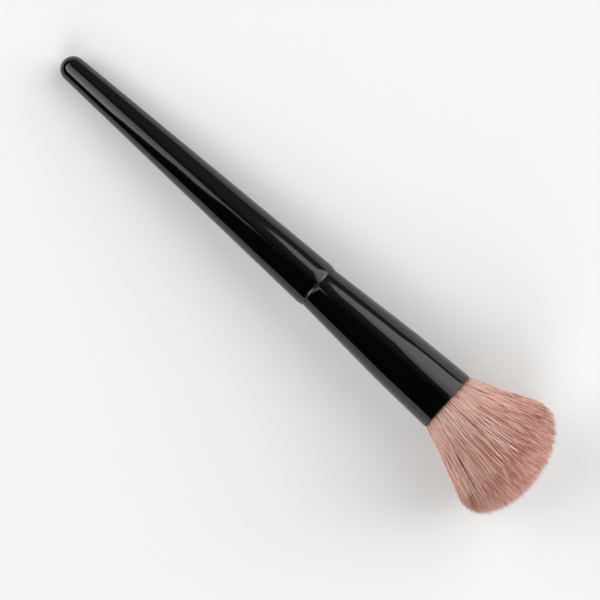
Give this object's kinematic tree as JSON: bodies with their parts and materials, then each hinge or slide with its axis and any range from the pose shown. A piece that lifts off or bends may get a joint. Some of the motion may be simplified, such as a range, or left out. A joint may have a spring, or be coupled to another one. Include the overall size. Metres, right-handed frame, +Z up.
{
  "type": "powder brush",
  "caption": "Cosmetic powder brush with a tapered black lacquered handle, a flared black metal ferrule and a domed tuft of dusty pink filaments.",
  "frame": {"origin": "bottom centre of the lying brush's bounding box, on the surface that it rests on", "axes": "+Z up from the surface, +X along the brush from the handle's tip towards the tuft"},
  "size_m": [0.1945, 0.0392, 0.038],
  "materials": {
    "black_lacquered_wood": "turned hardwood under a high-gloss black lacquer",
    "cured_adhesive": "cured adhesive, hidden inside the ferrule",
    "black_gloss_aluminium": "drawn aluminium with a glossy black coating",
    "cured_resin": "cast clear amber resin, hidden inside the ferrule",
    "binding_thread": "waxed undyed thread, hidden inside the ferrule",
    "dusty_pink_filament": "fine straight dusty pink filaments with a soft sheen"
  },
  "bodies": {
    "root": {"handle": "black_lacquered_wood", "tenon_adhesive": "cured_adhesive", "ferrule": "black_gloss_aluminium", "root_resin": "cured_resin", "binding_thread": "binding_thread", "bristle_tuft": "dusty_pink_filament"}
  },
  "joints": []
}
